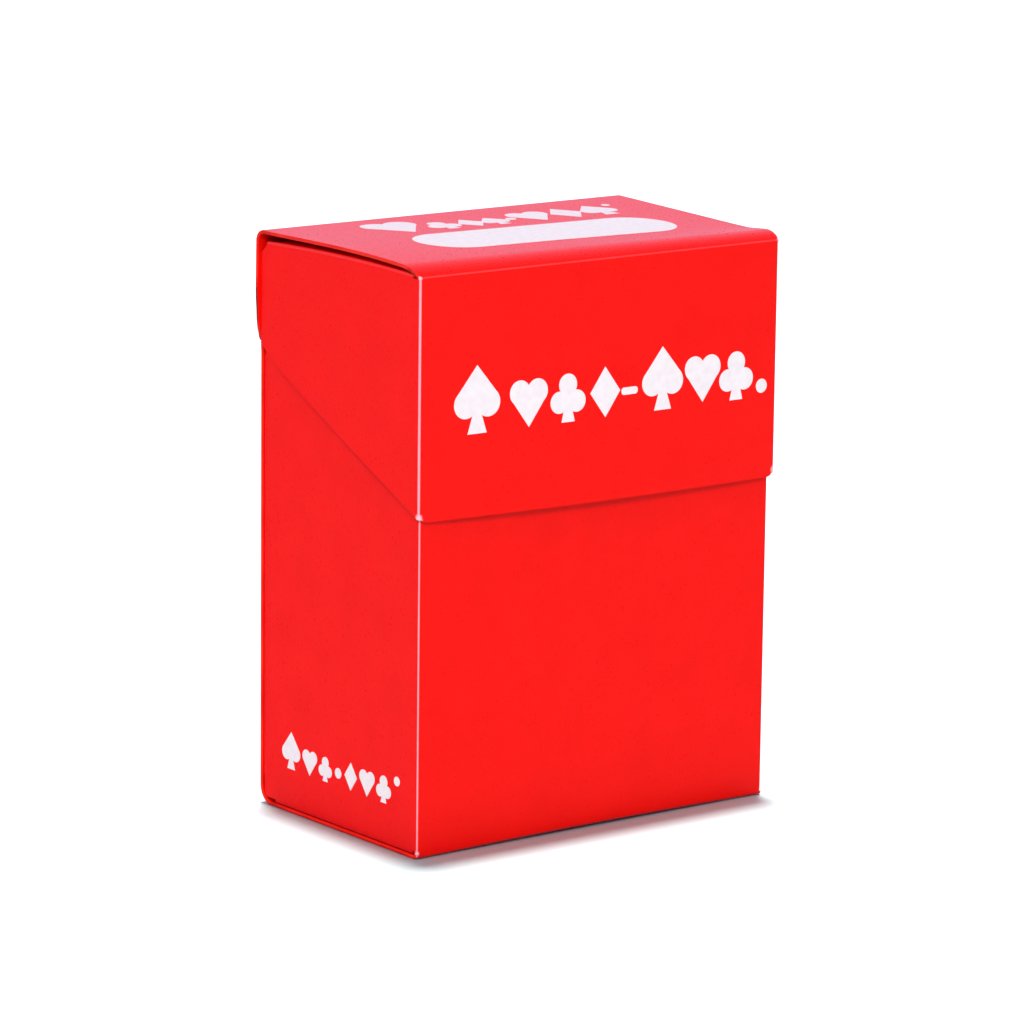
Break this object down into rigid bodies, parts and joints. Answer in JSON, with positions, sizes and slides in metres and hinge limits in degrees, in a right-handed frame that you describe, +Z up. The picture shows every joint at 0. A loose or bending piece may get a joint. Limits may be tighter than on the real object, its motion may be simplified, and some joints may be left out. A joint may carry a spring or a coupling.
{
  "type": "card deck box",
  "caption": "Flip-top plastic box for a deck of sleeved trading cards, folded from sheet, with a hinged cap lid, a thumb notch and a loose divider.",
  "frame": {"origin": "centre of the box's overall footprint, on the surface it stands on", "axes": "+Z up through the lid, -Y out of the front, +X to the right as seen from the front"},
  "size_m": [0.0754, 0.0456, 0.0982],
  "materials": {
    "red_sheet": "satin polypropylene sheet with a fine sand grain",
    "creased_fold": "stress-whitened fold in the same sheet",
    "divider_sheet": "satin polypropylene sheet with rounded corners",
    "white_ink": "screen-printed white ink, slightly glossy"
  },
  "bodies": {
    "box": {"front_panel": "red_sheet", "bottom_panel": "red_sheet", "back_panel": "red_sheet", "left_side_panel": "red_sheet", "right_side_panel": "red_sheet", "left_front_crease": "creased_fold", "right_front_crease": "creased_fold", "left_glue_flap": "red_sheet", "right_glue_flap": "red_sheet", "left_bottom_flap": "red_sheet", "right_bottom_flap": "red_sheet", "front_bottom_crease": "creased_fold", "back_bottom_bend": "red_sheet", "lid_hinge": "creased_fold", "side_print": "white_ink"},
    "lid": {"lid_back_panel": "red_sheet", "lid_top_back_bend": "red_sheet", "lid_top_panel": "red_sheet", "lid_top_front_crease": "creased_fold", "lid_front_panel": "red_sheet", "lid_left_ear": "red_sheet", "lid_right_ear": "red_sheet", "lid_left_crease": "creased_fold", "lid_right_crease": "creased_fold", "lid_left_dust_flap": "red_sheet", "lid_right_dust_flap": "red_sheet", "lid_left_glue_flap": "red_sheet", "lid_right_glue_flap": "red_sheet", "lid_front_print": "white_ink", "lid_top_print": "white_ink", "name_strip": "white_ink"},
    "divider": {"deck_divider": "divider_sheet"}
  },
  "joints": [
    {"name": "lid_hinge", "type": "hinge", "parent": "box", "child": "lid", "pos_m": [0, 0.02279, 0.0786], "axis": [-1, 0, 0], "range_deg": [0, 165]},
    {"name": "divider_slide", "type": "slide", "parent": "box", "child": "divider", "axis": [0, -1, 0], "range_m": [0, 0.0415]}
  ]
}
